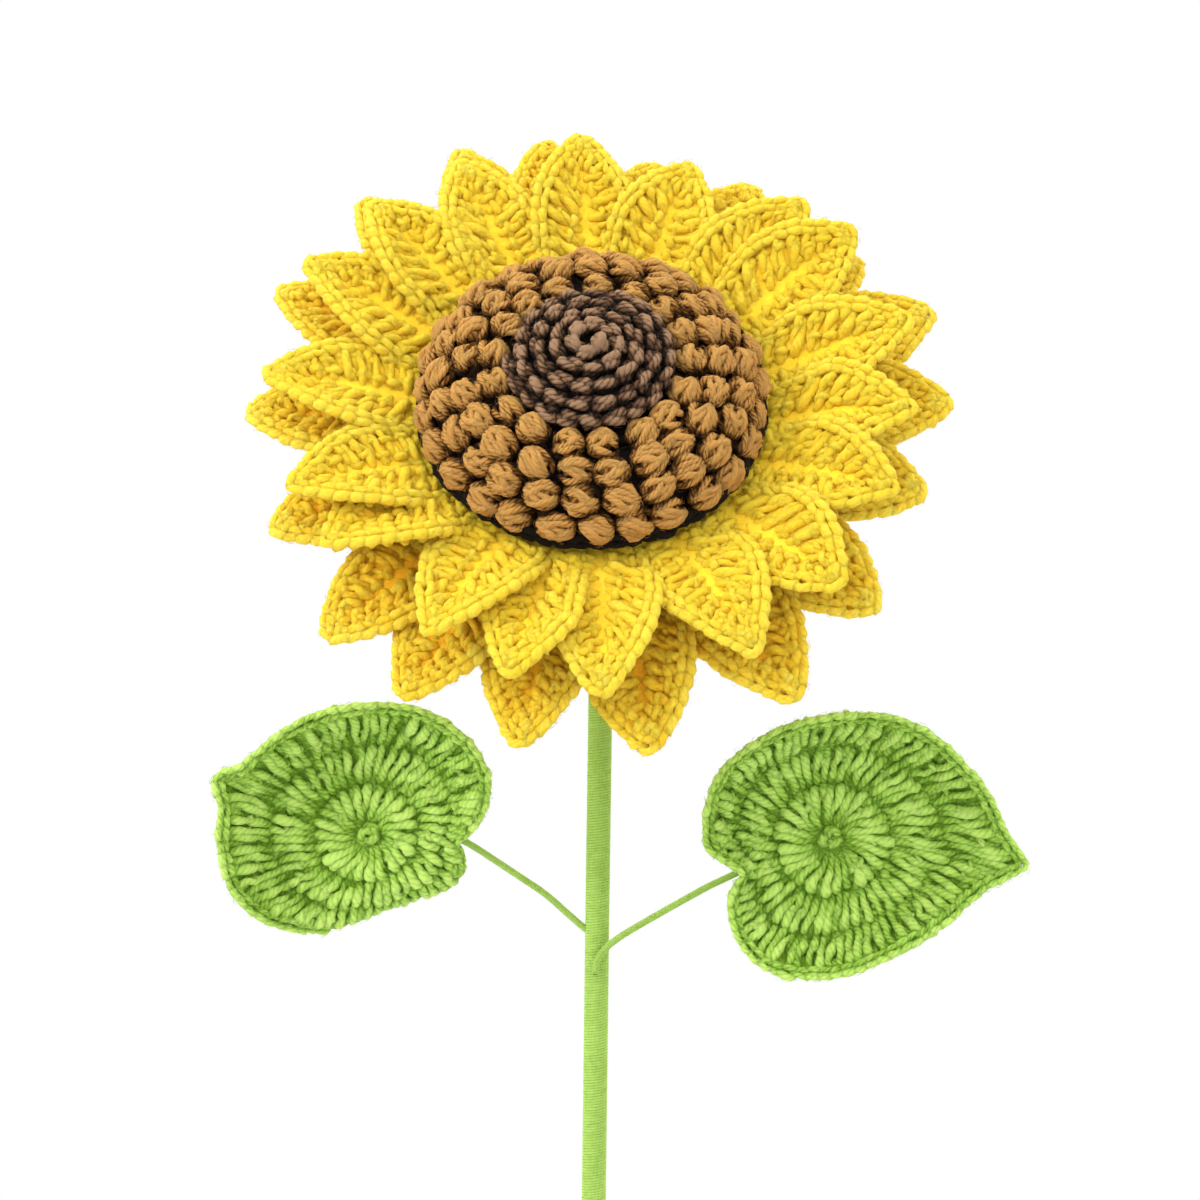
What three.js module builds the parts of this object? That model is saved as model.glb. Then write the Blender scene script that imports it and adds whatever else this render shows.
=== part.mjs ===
// A crocheted sunflower on a yarn-wrapped wire stem, life size, in millimetres, +Z up.
// It faces -Y. The origin is the centre of the flat cut at the foot of the stem.
import * as THREE from 'three';
import { mergeVertices } from 'three/addons/utils/BufferGeometryUtils.js';

const degree = Math.PI / 180;
const clearance = 0.3;   // left between pieces that touch

// Driving sizes
const stemRadius = 2.85;
const stemLean = 3.2;    // sideways drift of the stem from its foot to the neck
const leanPower = 1.6;   // most of the drift is near the top
const neckHeight = 322;  // where the straight stem starts to bend forward
const neckBend = 25;     // radius of that bend
const headTilt = 32;     // the flower's axis above the horizontal, in degrees
const headCentre = new THREE.Vector3(2, -24, 359.2);

const discShift = [-1.1, -1.7];  // the disc and cap sit a little off the petals' centre
const discRadius = 38.3;
const discBase = 0.2;    // the disc's flat underside, along the flower's axis
const discWall = 2;      // height of the upright wall round its foot
const discShoulder = 18.2;
const capRadius = 18.9;
const capSeat = 16.6;    // flat top of the disc under the cap
const capWall = 1.2;
const capHeight = 24.6;

const petalThickness = 3.2;
const petalWidth = 23;
const petalRoot = 30.5;  // distance of a petal's root from the flower's axis
const hiddenRoot = 0.2;  // share of a petal's length that lies flat under the disc
const petalBelly = 0.46; // share of its length at which a petal is widest
const rootShare = 0.62;  // shares of the full width at its root and at its tip
const tipShare = 0.1;
const risePower = 1.3;   // a petal lifts slowly at first
const curlSpan = 0.93;   // the turned-up edges flatten again near the tip
const thinning = 0.3;    // share of thickness lost at the edges, and again at the tip

const leafThickness = 3.2;
const leafThinning = 0.25;
const cupPower = 3.6;    // a leaf is flat in the middle and turns forward near its edge
const stalkRadius = 0.85;

const yellow = new THREE.MeshStandardMaterial({ color: 0xf2c32c, roughness: 0.9, metalness: 0 });
const deepYellow = new THREE.MeshStandardMaterial({ color: 0xe5a828, roughness: 0.9, metalness: 0 });
const tan = new THREE.MeshStandardMaterial({ color: 0x9a6a2f, roughness: 0.9, metalness: 0 });
const darkBrown = new THREE.MeshStandardMaterial({ color: 0x4b3127, roughness: 0.9, metalness: 0 });
const leafGreen = new THREE.MeshStandardMaterial({ color: 0x6f9f35, roughness: 0.9, metalness: 0 });
const stemGreen = new THREE.MeshStandardMaterial({ color: 0x7fb04e, roughness: 0.8, metalness: 0 });

const plant = new THREE.Group();
const head = new THREE.Group();  // local +Z is the flower's axis, +Y its upper side
head.position.copy(headCentre);
head.rotation.x = (90 - headTilt) * degree;
plant.add(head);

function addPiece(parent, name, geometry, material) {
  const piece = new THREE.Mesh(geometry, material);
  piece.name = name;
  parent.add(piece);
  return piece;
}

// ---- tubes: the stem with its bent neck, and the two leaf stalks ----

function circle(radius, sides) {
  const corners = [];
  for (let i = 0; i < sides; i += 1) {
    const turn = (i / sides) * 2 * Math.PI;
    corners.push(new THREE.Vector2(radius * Math.cos(turn), radius * Math.sin(turn)));
  }
  return new THREE.Shape(corners);
}

function tube(points, radius, sides, steps) {
  const path = new THREE.CatmullRomCurve3(points, false, 'centripetal');
  const options = { steps, bevelEnabled: false, extrudePath: path };
  return new THREE.ExtrudeGeometry(circle(radius, sides), options);
}

// The neck leaves the vertical and turns forward until it points along the flower's axis.
function stemPoints() {
  const points = [new THREE.Vector3(0, 0, 0), new THREE.Vector3(0, 0, 8)];
  for (const height of [90, 180, 250, neckHeight - 12]) {
    points.push(new THREE.Vector3(stemLean * (height / neckHeight) ** leanPower, 0, height));
  }
  const turnSteps = 5;
  const fullTurn = 90 - headTilt;
  for (let i = 0; i <= turnSteps; i += 1) {
    const turn = (i / turnSteps) * fullTurn * degree;
    const forward = -neckBend * (1 - Math.cos(turn));
    points.push(new THREE.Vector3(stemLean, forward, neckHeight + neckBend * Math.sin(turn)));
  }
  return points;
}

addPiece(plant, 'stem', tube(stemPoints(), stemRadius, 10, 44), stemGreen);

const stalkRight = [[1.5, -4.2, 232], [2.2, -4.25, 235.6], [5.2, -4.6, 239.4], [11.7, -4.6, 243.4],
  [20.8, -4.9, 248.6], [27.6, -5.4, 252.4], [33, -6, 255]];
const stalkLeft = [[-1.9, 0, 242.8], [-9.7, -1, 249.9], [-18.7, -2.5, 256.1], [-25.8, -4, 261]];
const toVectors = (rows) => rows.map((row) => new THREE.Vector3(...row));

addPiece(plant, 'stalk_right', tube(toVectors(stalkRight), stalkRadius, 8, 16), stemGreen);
addPiece(plant, 'stalk_left', tube(toVectors(stalkLeft), stalkRadius, 8, 8), stemGreen);

// ---- thin blades: a front and a back skin over a grid, closed by a wall round the edge ----

// skin(i, j, side) gives a point; side is +1 for the front skin and -1 for the back one.
function blade(rows, columns, skin) {
  const positions = [];
  const faces = [];
  const across = columns + 1;
  const layer = (rows + 1) * across;
  for (const side of [1, -1]) {
    for (let i = 0; i <= rows; i += 1) {
      for (let j = 0; j <= columns; j += 1) {
        positions.push(...skin(i / rows, j / columns, side));
      }
    }
  }
  const quad = (a, b, c, d) => faces.push(a, b, c, a, c, d);
  for (let i = 0; i < rows; i += 1) {
    for (let j = 0; j < columns; j += 1) {
      const a = i * across + j;
      quad(a, a + across, a + across + 1, a + 1);
      quad(layer + a, layer + a + 1, layer + a + across + 1, layer + a + across);
    }
  }
  const edge = [];
  for (let i = 0; i < rows; i += 1) edge.push(i * across);
  for (let j = 0; j < columns; j += 1) edge.push(rows * across + j);
  for (let i = rows; i > 0; i -= 1) edge.push(i * across + columns);
  for (let j = columns; j > 0; j -= 1) edge.push(j);
  edge.forEach((a, k) => {
    const b = edge[(k + 1) % edge.length];
    quad(a, layer + a, layer + b, b);
  });
  const geometry = new THREE.BufferGeometry();
  geometry.setAttribute('position', new THREE.Float32BufferAttribute(positions, 3));
  geometry.setIndex(faces);
  geometry.computeVertexNormals();
  return geometry;
}

// Share of the full width at a share u of a petal's length: narrow root, long belly, pointed tip.
function petalOutline(u, fullness) {
  if (u < petalBelly) return rootShare + (1 - rootShare) * Math.sin((u / petalBelly) * 90 * degree);
  return tipShare + (1 - tipShare) * (1 - ((u - petalBelly) / (1 - petalBelly)) ** fullness);
}

// In a petal's own frame +X runs out along it, +Y across it and +Z along the flower's axis.
function petal({ reach, rise, rootRise, cup, bow, fullness, roomBefore, roomAfter }) {
  const skin = (u, v, side) => {
    const out = petalRoot + (reach - petalRoot) * u;
    const across = 2 * v - 1;
    const room = across < 0 ? roomBefore : roomAfter;
    const wedge = out * Math.tan(room) - clearance;
    const half = Math.min((petalWidth / 2) * petalOutline(u, fullness), wedge);
    const free = Math.max(0, (u - hiddenRoot) / (1 - hiddenRoot));
    const curl = cup * Math.sin(curlSpan * free * 180 * degree) * across ** 2;
    const lift = (rise - rootRise) * u ** risePower + bow * Math.sin(free * 180 * degree);
    const middle = rootRise + lift;
    const thick = petalThickness * (1 - thinning * across ** 2) * (1 - thinning * u);
    return [out, half * across, middle + curl + (side * thick) / 2];
  };
  return blade(8, 4, skin);
}

// Each layer has its petals about an eighteenth of a turn apart, laid by hand: turn is each
// petal's direction round the flower, reach and rise where its tip lies.
const frontLayer = {
  name: 'petal_front',
  rootRise: -2.8,
  cup: 3.6,
  bow: 1.2,
  fullness: 1.8,
  turn: [93, 72, 49, 36, 14, 354, 337, 315, 296, 271, 256, 241, 216, 204, 178, 153, 136, 116],
  reach: [74, 70, 72, 71, 71, 68, 68, 71, 73, 75, 73, 70, 69, 70, 72, 73, 71, 72],
  rise: [5, 3, 4, 9, 8, 8, 6, 5, 4, 3, 4, 5, 6, 9, 7, 8, 9, 6],
};
const backLayer = {
  name: 'petal_back',
  rootRise: -6.6,
  cup: 2.2,
  bow: -0.6,
  fullness: 2.4,
  turn: [99, 80, 62, 38, 21, 3, 345, 320, 301, 278, 259, 240, 224, 203, 178, 154, 131, 113],
  reach: [82, 77, 78, 77, 81, 78, 73, 76, 80, 81, 81, 79, 78, 75, 77, 81, 84, 83],
  rise: [-5, -7, -7, -8, -4, -5, -7, -6, -9, -10, -9, -9, -9, -6, -7, -5, -6, -3],
};

function addLayer(material, layer) {
  const count = layer.turn.length;
  const nearest = (i, k) => {
    const apart = Math.abs(layer.turn[i] - layer.turn[(k + count) % count]) % 360;
    return (Math.min(apart, 360 - apart) / 2) * degree;
  };
  layer.turn.forEach((turn, i) => {
    const size = { ...layer, reach: layer.reach[i], rise: layer.rise[i],
      roomBefore: nearest(i, i + 1), roomAfter: nearest(i, i - 1) };
    const name = `${layer.name}_${String(i + 1).padStart(2, '0')}`;
    addPiece(head, name, petal(size), material).rotation.z = turn * degree;
  });
}

addLayer(yellow, frontLayer);
addLayer(deepYellow, backLayer);

// ---- round pieces on the flower's axis: disc of bobbles, dark cap, calyx at the back ----

function turned(profile, sides) {
  const outline = profile.map(([radius, height]) => new THREE.Vector2(radius, height));
  const shape = new THREE.LatheGeometry(outline, sides);
  shape.rotateX(90 * degree);
  shape.deleteAttribute('normal');
  shape.deleteAttribute('uv');
  return mergeVertices(shape, 1e-4);
}

// The disc swells from its foot to a shoulder just outside the cap.
function discProfile() {
  const footInset = 4;
  const shoulderGap = 1;
  const inwardPower = 1.6;
  const upwardPower = 0.9;
  const profile = [[0, discBase], [discRadius - footInset, discBase]];
  const steps = 6;
  const lowest = discBase + discWall;
  for (let i = 0; i <= steps; i += 1) {
    const share = i / steps;
    const inward = (discRadius - capRadius - shoulderGap) * share ** inwardPower;
    const upward = (discShoulder - lowest) * Math.sin(share * 90 * degree) ** upwardPower;
    profile.push([discRadius - inward, lowest + upward]);
  }
  profile.push([capRadius + shoulderGap / 2, capSeat], [0, capSeat]);
  return profile;
}

// The cap is a low dome on an upright edge.
function capProfile() {
  const profile = [[0, capSeat + clearance], [capRadius, capSeat + clearance]];
  const steps = 5;
  const edge = capSeat + capWall;
  for (let i = 1; i < steps; i += 1) {
    const turn = (i / steps) * 90 * degree;
    profile.push([capRadius * Math.cos(turn), edge + (capHeight - edge) * Math.sin(turn)]);
  }
  profile.push([0, capHeight]);
  return profile;
}

const calyxProfile = [[0, -18], [6, -18], [14, -16], [23, -12.6], [29, -9.8], [29.4, -8.6], [0, -8.6]];

addPiece(head, 'disc', turned(discProfile(), 28), tan).position.set(...discShift, 0);
addPiece(head, 'cap', turned(capProfile(), 24), darkBrown).position.set(...discShift, 0);
addPiece(head, 'calyx', turned(calyxProfile, 24), leafGreen);

// ---- cupped heart-shaped leaves, facing -Y ----

// A leaf's edge is its radius every 30 degrees round its centre, counted from +X towards +Z,
// with a pointed nub at the tip and a notch at the stalk. lift is how far the edge stands
// forward of the centre, at the same angles.
const rightLeaf = {
  centre: [54.5, -7, 263.2],
  radius: [38.4, 34.5, 32.3, 29.8, 29.8, 31.2, 29.5, 28.9, 32.8, 30.4, 28.7, 32.4],
  lift: [4, 7, 9, 10, 10, 8, 4, 3, 4, 6, 7, 5],
  tipAngle: -7, tipLength: 6.6,
  notchAngle: 198.5, notchDepth: 6.6,
};
const leftLeaf = {
  centre: [-49.6, -6, 263.9],
  radius: [25.4, 32.4, 32.9, 31, 30.7, 31.8, 32.5, 31.1, 25.4, 19, 18.4, 23],
  lift: [1, 6, 8, 8, 8, 8, 8, 6, 0, -5, -7, -4],
  tipAngle: 157, tipLength: 4.6,
  notchAngle: -5, notchDepth: 4.4,
};

// Smooth value round a closed list that has one entry for every equal share of the turn.
function around(list, angle) {
  const place = (((angle / 360) % 1) + 1) % 1 * list.length;
  const k = Math.floor(place);
  const t = place - k;
  const [a, b, c, d] = [-1, 0, 1, 2].map((step) => list[(k + step + list.length) % list.length]);
  return b + 0.5 * t * (c - a + t * (2 * a - 5 * b + 4 * c - d + t * (3 * (b - c) + d - a)));
}

const tipSpread = 6;     // how wide the tip and the notch are, in degrees
const notchSpread = 9;

function bump(angle, centre, width) {
  const apart = ((angle - centre + 540) % 360) - 180;
  return Math.exp(-((apart / width) ** 2));
}

function leafEdge(leaf, angle) {
  const tip = leaf.tipLength * bump(angle, leaf.tipAngle, tipSpread);
  const notch = leaf.notchDepth * bump(angle, leaf.notchAngle, notchSpread);
  return around(leaf.radius, angle) + tip - notch;
}

// The front and back skins share their edge ring's place but for the thickness.
function leafGeometry(leaf) {
  const spokes = 40;
  const angleOf = (k) => leaf.tipAngle + (k / spokes) * 360;  // one spoke runs into the tip
  const rings = [0.3, 0.58, 0.8, 1];
  const positions = [];
  const faces = [];
  const layer = 1 + spokes * rings.length;
  for (const side of [1, -1]) {
    positions.push(0, (-side * leafThickness) / 2, 0);
    for (const share of rings) {
      for (let k = 0; k < spokes; k += 1) {
        const angle = angleOf(k);
        const radius = leafEdge(leaf, angle) * share;
        const forward = around(leaf.lift, angle) * share ** cupPower;
        const thick = leafThickness * (1 - leafThinning * share);
        const x = radius * Math.cos(angle * degree);
        const z = radius * Math.sin(angle * degree);
        positions.push(x, -forward - (side * thick) / 2, z);
      }
    }
  }
  const at = (side, ring, k) => side * layer + 1 + ring * spokes + (k % spokes);
  for (let k = 0; k < spokes; k += 1) {
    faces.push(0, at(0, 0, k), at(0, 0, k + 1));
    faces.push(layer, at(1, 0, k + 1), at(1, 0, k));
    for (let ring = 0; ring + 1 < rings.length; ring += 1) {
      const [a, b] = [at(0, ring, k), at(0, ring, k + 1)];
      const [c, d] = [at(0, ring + 1, k), at(0, ring + 1, k + 1)];
      faces.push(a, c, d, a, d, b);
      faces.push(layer + a, layer + d, layer + c, layer + a, layer + b, layer + d);
    }
    const last = rings.length - 1;
    const [a, b] = [at(0, last, k), at(0, last, k + 1)];
    faces.push(a, layer + a, layer + b, a, layer + b, b);
  }
  const geometry = new THREE.BufferGeometry();
  geometry.setAttribute('position', new THREE.Float32BufferAttribute(positions, 3));
  geometry.setIndex(faces);
  geometry.computeVertexNormals();
  return geometry;
}

for (const [name, leaf] of [['leaf_right', rightLeaf], ['leaf_left', leftLeaf]]) {
  addPiece(plant, name, leafGeometry(leaf), leafGreen).position.set(...leaf.centre);
}

export default plant;
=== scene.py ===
import math
import random

import bmesh
import bpy
import numpy as np
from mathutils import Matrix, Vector
from mathutils.bvhtree import BVHTree


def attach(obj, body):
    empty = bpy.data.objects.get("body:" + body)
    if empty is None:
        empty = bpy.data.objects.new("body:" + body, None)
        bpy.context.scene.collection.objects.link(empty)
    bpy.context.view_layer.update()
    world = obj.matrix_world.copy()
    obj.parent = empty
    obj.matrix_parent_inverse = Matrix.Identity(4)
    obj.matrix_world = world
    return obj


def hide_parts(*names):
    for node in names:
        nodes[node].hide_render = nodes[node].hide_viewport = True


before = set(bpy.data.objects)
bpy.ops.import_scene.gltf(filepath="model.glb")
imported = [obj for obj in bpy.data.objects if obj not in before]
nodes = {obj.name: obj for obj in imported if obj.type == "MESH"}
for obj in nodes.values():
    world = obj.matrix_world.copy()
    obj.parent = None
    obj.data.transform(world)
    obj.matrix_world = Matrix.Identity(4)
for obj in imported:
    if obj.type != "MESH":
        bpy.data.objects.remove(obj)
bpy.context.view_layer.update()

mm = 0.001
print("frame loaded:", len(nodes), "pieces")


def shown(name, data):
    # a new object of this name and data, in the scene
    item = bpy.data.objects.new(name, data)
    bpy.context.scene.collection.objects.link(item)
    return item


# camera first, level with the flower's lower edge, looking along +Y
cameraValues = {"place": (2.7 * mm, -520 * mm, 316.8 * mm), "lens": 68.4, "sensor": 36.0}

cameraData = bpy.data.cameras.new("camera")
cameraData.lens = cameraValues["lens"]
cameraData.sensor_width = cameraValues["sensor"]
cameraObject = shown("camera", cameraData)
cameraObject.location = cameraValues["place"]
cameraObject.rotation_euler = (math.radians(90), 0, 0)
bpy.context.scene.camera = cameraObject


# small vector helpers, on numpy arrays

def unit(v):
    return v / max(np.linalg.norm(v), 1e-12)


def mixed(a, b, t):
    return a + (b - a) * t


def vertsOf(node):
    co = np.empty(len(nodes[node].data.vertices) * 3)
    nodes[node].data.vertices.foreach_get("co", co)
    return co.reshape(-1, 3)


def treeOf(points, node):
    return BVHTree.FromPolygons([Vector(p) for p in points],
                                [tuple(p.vertices) for p in nodes[node].data.polygons])


class Route:
    # a smooth line that can be asked for its place, heading and facing at any distance along it
    def __init__(self, points, facings):
        self.points = np.array(points)
        self.facings = np.array(facings)
        steps = np.linalg.norm(np.diff(self.points, axis=0), axis=1)
        self.marks = np.concatenate([[0], np.cumsum(steps)])
        self.length = self.marks[-1]

    def spot(self, values, s):
        inside = min(max(s, 0), self.length)
        return np.array([np.interp(inside, self.marks, values[:, i]) for i in range(3)])

    def at(self, s):
        near = 0.4 * mm
        ahead = self.spot(self.points, min(s + near, self.length))
        behind = self.spot(self.points, max(min(s, self.length) - near, 0))
        heading = unit(ahead - behind)
        place = self.spot(self.points, s)
        if s < 0:
            place = place + heading * s
        if s > self.length:
            place = place + heading * (s - self.length)
        facing = self.spot(self.facings, s)
        facing = unit(facing - heading * np.dot(facing, heading))
        return place, heading, facing, np.cross(heading, facing)


class Guides:
    # centre lines for strands of yarn, each point with a share of the strand's thickness
    def __init__(self, place=None, stray=0.17 * mm, swell=0.2, seed=5):
        self.chance = random.Random(seed)
        self.stray = stray
        self.swell = swell
        self.points = []
        self.links = []
        self.thick = []
        self.tone = []
        self.place = place or (lambda p: p)

    def add(self, path, tone=0.5, taper=0.8, size=1.0, grow=0.0):
        # grow makes the strand thinner at its start and thicker at its end
        first = len(self.points)
        path = [np.array(p) for p in path]
        path.insert(1, mixed(path[0], path[1], 0.3))
        path.insert(-1, mixed(path[-1], path[-2], 0.3))
        last = len(path) - 1
        for i, p in enumerate(path):
            stray = np.array([self.chance.gauss(0, 1) for axis in range(3)]) * self.stray
            self.points.append(self.place(p + stray))
            share = 0 if i in (0, last) else taper if i in (1, last - 1) else 1
            uneven = 1 + self.swell * self.chance.uniform(-1, 1)
            self.thick.append(share * size * uneven * (1 + grow * (i / last - 0.5)))
            self.tone.append(tone)
            if i:
                self.links.append((first + i - 1, first + i))


def twisted(guides, path, ups, count, offset, turn, start, tone, size=1.0, grow=0.0):
    # count strands laid round a path, turned about it from end to end
    last = len(path) - 1
    for k in range(count):
        strand = []
        for i, p in enumerate(path):
            heading = unit(path[min(i + 1, last)] - path[max(i - 1, 0)])
            up = unit(ups[i] - heading * np.dot(ups[i], heading))
            side = np.cross(heading, up)
            angle = start + k * 2 * math.pi / count + turn * i / last
            close = (0.55 if i in (0, last) else 1) * (1 + grow * (i / last - 0.5))
            strand.append(p + offset * close * (math.cos(angle) * up + math.sin(angle) * side))
        guides.add(strand, tone, size=size, grow=grow)


def wrap(guides, path, ups, at, reach, rise, hand, tone, size=1.0):
    # the yarn-over: a short strand slanting across a post at a share of its length
    last = len(path) - 1
    k = min(max(int(at * last), 1), last - 1)
    middle = mixed(path[k], path[k + 1], at * last - k)
    heading = unit(path[k + 1] - path[k - 1])
    up = unit(ups[k] - heading * np.dot(ups[k], heading))
    side = np.cross(heading, up) * hand
    strand = []
    for across, along, height in ((-1.15, -0.9, -0.5), (-0.85, -0.55, 0.55), (0, 0, 1), (0.85, 0.55, 0.55),
                                  (1.15, 0.9, -0.5)):
        strand.append(middle + side * across * reach + heading * along * reach * 0.7 + up * height * rise)
    guides.add(strand, tone, size=size)


def chain(guides, route, pitch, spread, chance, tone=0.5, begin=0.0, end=None, size=1.0):
    # a row of V links along a route, each leg a short strand that dives under the next one
    alongs = (-0.25, 0.15, 0.7, 1.15, 1.4)
    heights = (-0.5, 0.5, 0.75, 0.45, -0.4)
    asides = (0.1, 0.55, 1.0, 0.75, 0.2)
    reachEnd = route.length if end is None else end
    count = max(1, round((reachEnd - begin) / pitch))
    step = (reachEnd - begin) / count
    for k in range(count):
        shade = tone + chance.uniform(-0.18, 0.18)
        for hand in (-1, 1):
            leg = []
            for a, h, w in zip(alongs, heights, asides):
                place, heading, facing, side = route.at(begin + (k + a) * step)
                sway = 1 + chance.uniform(-0.12, 0.12)
                leg.append(place + facing * h * mm * size + side * hand * w * spread * sway)
            guides.add(leg, shade, size=size)


# node trees: a strand of yarn along guide lines, and thread wound round a core

def newTree(name, inputs):
    tree = bpy.data.node_groups.new(name, "GeometryNodeTree")
    tree.interface.new_socket("Geometry", in_out="INPUT", socket_type="NodeSocketGeometry")
    for label, kind, value in inputs:
        socket = tree.interface.new_socket(label, in_out="INPUT", socket_type="NodeSocket" + kind)
        if value is not None:
            socket.default_value = value
    tree.interface.new_socket("Geometry", in_out="OUTPUT", socket_type="NodeSocketGeometry")
    return tree


def addNode(tree, kind, links=(), **settings):
    node = tree.nodes.new(kind)
    for key, value in settings.items():
        setattr(node, key, value)
    for key, value in dict(links).items():
        socket = node.inputs[key]
        if hasattr(value, "is_output"):
            tree.links.new(value, socket)
        else:
            socket.default_value = value
    return node


def sumOf(tree, operation, *values):
    node = tree.nodes.new("ShaderNodeMath")
    node.operation = operation
    for i, value in enumerate(values):
        if hasattr(value, "is_output"):
            tree.links.new(value, node.inputs[i])
        else:
            node.inputs[i].default_value = value
    return node.outputs[0]


def vectorOf(tree, operation, a, b):
    node = tree.nodes.new("ShaderNodeVectorMath")
    node.operation = operation
    tree.links.new(a, node.inputs[0])
    if operation == "SCALE":
        tree.links.new(b, node.inputs["Scale"])
    else:
        tree.links.new(b, node.inputs[1])
    return node.outputs[0]


def captured(tree, geometry, field, kind="FLOAT"):
    node = tree.nodes.new("GeometryNodeCaptureAttribute")
    node.domain = "POINT"
    node.capture_items.new(kind, "kept")
    tree.links.new(geometry, node.inputs["Geometry"])
    tree.links.new(field, node.inputs[1])
    return node.outputs["Geometry"], node.outputs[1]


def endTree(tree, entry, geometry):
    # every tree ends in plain geometry, dressed in the yarn it was given
    whole = addNode(tree, "GeometryNodeRealizeInstances", {"Geometry": geometry})
    dressed = addNode(tree, "GeometryNodeSetMaterial", {
        "Geometry": whole.outputs["Geometry"], "Material": entry.outputs["Yarn"]})
    leave = tree.nodes.new("NodeGroupOutput")
    tree.links.new(dressed.outputs["Geometry"], leave.inputs["Geometry"])


def namedField(tree, name, kind="FLOAT"):
    node = addNode(tree, "GeometryNodeInputNamedAttribute", data_type=kind)
    node.inputs["Name"].default_value = name
    return node.outputs["Attribute"]


def sweep(tree, curve, entry):
    # the last part of both strand trees: a round strand with its length and turn kept as the yarn map
    length = addNode(tree, "GeometryNodeSplineParameter").outputs["Length"]
    curve, lengthKept = captured(tree, curve, length)
    profile = addNode(tree, "GeometryNodeCurveArc", {
        "Resolution": sumOf(tree, "ADD", entry.outputs["Sides"], 1),
        "Radius": entry.outputs["Strand radius"],
        "Start Angle": 0.0,
        "Sweep Angle": 2 * math.pi})
    factor = addNode(tree, "GeometryNodeSplineParameter").outputs["Factor"]
    ring, roundKept = captured(tree, profile.outputs["Curve"], factor)
    tube = addNode(tree, "GeometryNodeCurveToMesh", {
        "Curve": curve, "Profile Curve": ring, "Scale": namedField(tree, "thick")})
    millimetres = sumOf(tree, "DIVIDE", lengthKept, mm)
    place = addNode(tree, "ShaderNodeCombineXYZ", {0: millimetres, 1: roundKept})
    mapped = storedField(tree, tube.outputs["Mesh"], "yarn", place.outputs[0], "FLOAT2", "CORNER")
    merged = addNode(tree, "GeometryNodeMergeByDistance", {"Geometry": mapped, "Distance": 0.008 * mm})
    smooth = addNode(tree, "GeometryNodeSetShadeSmooth", {"Geometry": merged.outputs["Geometry"]})
    endTree(tree, entry, smooth.outputs["Geometry"])


def guideCurve(tree, entry, step):
    # smooth curves through the guide lines, cut into even steps
    curve = addNode(tree, "GeometryNodeMeshToCurve", {"Mesh": entry.outputs["Geometry"]})
    smooth = addNode(tree, "GeometryNodeCurveSplineType", {"Curve": curve.outputs["Curve"]},
                     spline_type="CATMULL_ROM")
    fine = addNode(tree, "GeometryNodeSetSplineResolution", {
        "Geometry": smooth.outputs["Curve"], "Resolution": 8})
    even = addNode(tree, "GeometryNodeResampleCurve", mode="LENGTH")
    tree.links.new(fine.outputs["Geometry"], even.inputs["Curve"])
    lengthSocket = [s for s in even.inputs if s.name == "Length"][0]
    tree.links.new(step, lengthSocket)
    return even.outputs["Curve"]


def storedField(tree, geometry, name, field, kind, domain):
    store = addNode(tree, "GeometryNodeStoreNamedAttribute", {"Name": name}, data_type=kind, domain=domain)
    tree.links.new(geometry, store.inputs["Geometry"])
    value = [s for s in store.inputs if s.name == "Value" and s.enabled][0]
    tree.links.new(field, value)
    return store.outputs["Geometry"]


def kindsTogether(tree, entry, kinds):
    # the objects given as Kind 1, Kind 2 ... as one list to pick instances from
    together = tree.nodes.new("GeometryNodeJoinGeometry")
    for k in range(kinds):
        info = addNode(tree, "GeometryNodeObjectInfo", {"Object": entry.outputs["Kind " + str(k + 1)],
                                                       "As Instance": True})
        tree.links.new(info.outputs["Geometry"], together.inputs[0])
    return together.outputs["Geometry"]


def randomField(tree, kind, low, high, seed):
    node = addNode(tree, "FunctionNodeRandomValue", data_type=kind)
    places = {s.name: s for s in node.inputs if s.enabled}
    places["Min"].default_value = low
    places["Max"].default_value = high
    tree.links.new(seed, places["Seed"])
    return [s for s in node.outputs if s.enabled][0]


def fibreTree(kinds):
    # scatters loose fibres over finished strands and keeps every point's height above the ground, which the
    # yarn uses for painted shade
    tree = newTree("loose fibres", [("Kind " + str(k + 1), "Object", None) for k in range(kinds)]
                   + [("Ground", "Object", None), ("Fibres a square metre", "Float", 300000.0),
                      ("Seed", "Int", 1), ("Yarn", "Material", None)])
    entry = tree.nodes.new("NodeGroupInput")
    seed = entry.outputs["Seed"]
    scatter = addNode(tree, "GeometryNodeDistributePointsOnFaces", {
        "Mesh": entry.outputs["Geometry"], "Density": entry.outputs["Fibres a square metre"], "Seed": seed})
    spin = addNode(tree, "FunctionNodeRotateRotation", {
        0: scatter.outputs["Rotation"],
        1: randomField(tree, "FLOAT_VECTOR", (-0.3, -0.3, 0.0), (0.3, 0.3, 2 * math.pi), seed)},
        rotation_space="LOCAL")
    placed = addNode(tree, "GeometryNodeInstanceOnPoints", {
        "Points": scatter.outputs["Points"], "Instance": kindsTogether(tree, entry, kinds),
        "Pick Instance": True, "Instance Index": randomField(tree, "INT", 0, kinds - 1, seed),
        "Rotation": spin.outputs[0], "Scale": randomField(tree, "FLOAT", 0.6, 1.3, seed)})
    fibres = addNode(tree, "GeometryNodeRealizeInstances", {"Geometry": placed.outputs["Instances"]})
    both = tree.nodes.new("GeometryNodeJoinGeometry")
    tree.links.new(fibres.outputs["Geometry"], both.inputs[0])
    tree.links.new(entry.outputs["Geometry"], both.inputs[0])
    ground = addNode(tree, "GeometryNodeObjectInfo", {"Object": entry.outputs["Ground"]})
    near = addNode(tree, "GeometryNodeProximity", {0: ground.outputs["Geometry"]}, target_element="FACES")
    kept = storedField(tree, both.outputs["Geometry"], "depth", near.outputs["Distance"], "FLOAT", "POINT")
    endTree(tree, entry, kept)
    return tree


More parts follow.
